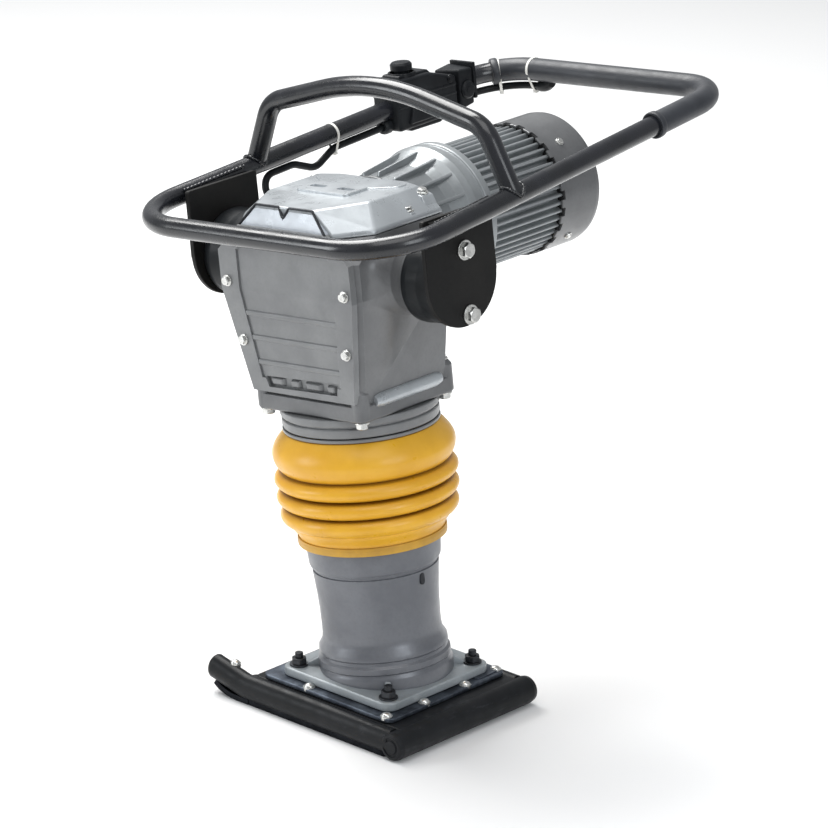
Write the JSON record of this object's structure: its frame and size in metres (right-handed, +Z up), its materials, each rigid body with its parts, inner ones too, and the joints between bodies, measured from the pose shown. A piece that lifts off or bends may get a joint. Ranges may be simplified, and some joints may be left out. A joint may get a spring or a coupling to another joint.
{
  "type": "tamping rammer",
  "caption": "Electric jumping jack rammer: curled-toe shoe, leaning leg with yellow bellows, cast gearcase with finned motor, and a rubber-mounted tube handle loop with lifting arch.",
  "frame": {"origin": "on the flat sole, under the foot of the leg axis", "axes": "+Z up, +Y towards the operator at the rear handle, +X away from the curled toe; the leg leans 7.3 degrees towards -X"},
  "size_m": [0.4959, 0.7229, 0.8227],
  "materials": {
    "bellows_yellow": "yellow polyurethane bellows, satin",
    "black_paint": "gloss black paint over steel tube and plate",
    "black_plastic": "black moulded plastic",
    "bright_steel": "machined steel",
    "bronze": "sintered bronze",
    "cast_grey": "satin grey paint on a casting",
    "cast_light": "silver painted aluminium casting",
    "cowl_grey": "grey pressed steel fan cowl",
    "dark_steel": "oil-blackened steel",
    "grip_rubber": "black foam rubber sleeve",
    "motor_silver": "silver painted aluminium motor",
    "rubber": "black rubber",
    "shoe_black": "black moulded shoe block, satin",
    "worn_steel": "dark steel plate, scuffed",
    "zinc": "bright zinc plate"
  },
  "bodies": {
    "foot": {"shoe_sole": "worn_steel", "shoe_block": "shoe_black", "shoe_top_plate": "worn_steel", "leg_casting": "cast_grey", "foot_bolt_1": "dark_steel", "foot_bolt_2": "dark_steel", "foot_bolt_3": "dark_steel", "foot_bolt_4": "dark_steel", "spring_tube": "bright_steel", "spring_tube_cap": "dark_steel", "upper_spring": "bright_steel", "lower_spring": "bright_steel", "bellows_lower_clamp": "zinc"},
    "housing": {"guide_tube": "cast_grey", "guide_bush": "bronze", "bellows": "bellows_yellow", "bellows_upper_clamp": "cast_grey", "gearcase": "cast_light", "case_bolt_1": "zinc", "case_bolt_2": "zinc", "case_bolt_3": "zinc", "case_bolt_4": "zinc", "front_cover": "cast_grey", "top_cover": "cast_light", "motor_front_bell": "motor_silver", "motor_frame": "motor_silver", "stator_core": "dark_steel", "motor_rear_bell": "cast_grey", "fan_cowl": "cowl_grey", "motor_front_bearing": "bright_steel", "motor_rear_bearing": "bright_steel", "terminal_box": "motor_silver", "terminal_lid": "motor_silver", "crank_front_bearing": "bright_steel", "crank_rear_bearing": "bright_steel"},
    "rotor": {"rotor_shaft": "bright_steel", "motor_pinion": "bright_steel", "rotor_core": "dark_steel", "cooling_fan": "black_plastic"},
    "crank": {"crankshaft": "dark_steel", "crank_gear": "bright_steel"},
    "connecting_rod": {"connecting_rod": "dark_steel"},
    "piston": {"piston_rod": "bright_steel", "piston": "dark_steel"},
    "handle": {"handle_loop": "black_paint", "lifting_arch": "black_paint", "rear_grip": "grip_rubber", "side_plate_right": "black_paint", "side_plate_left": "black_paint", "plate_bolt_right_1": "zinc", "plate_bolt_right_2": "zinc", "plate_bolt_left_1": "zinc", "plate_bolt_left_2": "zinc", "switch_box": "black_plastic", "motor_lead": "rubber", "supply_lead": "rubber", "lead_clamp": "black_plastic", "rubber_buffer_right": "rubber", "rubber_buffer_left": "rubber"},
    "switch_button": {"switch_button": "black_plastic"}
  },
  "joints": [
    {"name": "ram_slide", "type": "slide", "parent": "foot", "child": "housing", "axis": [-0.1271, 0, 0.9919], "range_m": [-0.04, 0.03], "stiffness_N_per_m": 26000, "springref_m": 0.0233, "deforming": ["bellows", "upper_spring", "lower_spring"]},
    {"name": "crank_spin", "type": "hinge", "parent": "housing", "child": "crank", "pos_m": [-0.06042, 0, 0.52845], "axis": [0, 1, 0], "continuous": true},
    {"name": "rotor_spin", "type": "hinge", "parent": "housing", "child": "rotor", "pos_m": [-0.07154, 0, 0.61524], "axis": [0, 1, 0], "continuous": true},
    {"name": "rod_swing", "type": "hinge", "parent": "crank", "child": "connecting_rod", "pos_m": [-0.06296, 0, 0.54828], "axis": [0, 1, 0], "continuous": true},
    {"name": "piston_slide", "type": "slide", "parent": "housing", "child": "piston", "axis": [-0.1271, 0, 0.9919], "range_m": [-0.04, 0]},
    {"name": "handle_rock", "type": "hinge", "parent": "housing", "child": "handle", "pos_m": [-0.06849, 0, 0.59143], "axis": [0.9919, 0, 0.1271], "range_deg": [-4, 4], "stiffness_Nm_per_rad": 1500, "springref_deg": 0.71, "deforming": ["motor_lead"]},
    {"name": "button_press", "type": "slide", "parent": "handle", "child": "switch_button", "axis": [-0.1271, 0, 0.9919], "range_m": [-0.005, 0], "stiffness_N_per_m": 600, "springref_m": 0.001}
  ],
  "couplings": [
    {"joint": "rotor_spin", "follows": "crank_spin", "ratio": -4},
    {"joint": "rod_swing", "follows": "crank_spin", "ratio": -1}
  ]
}
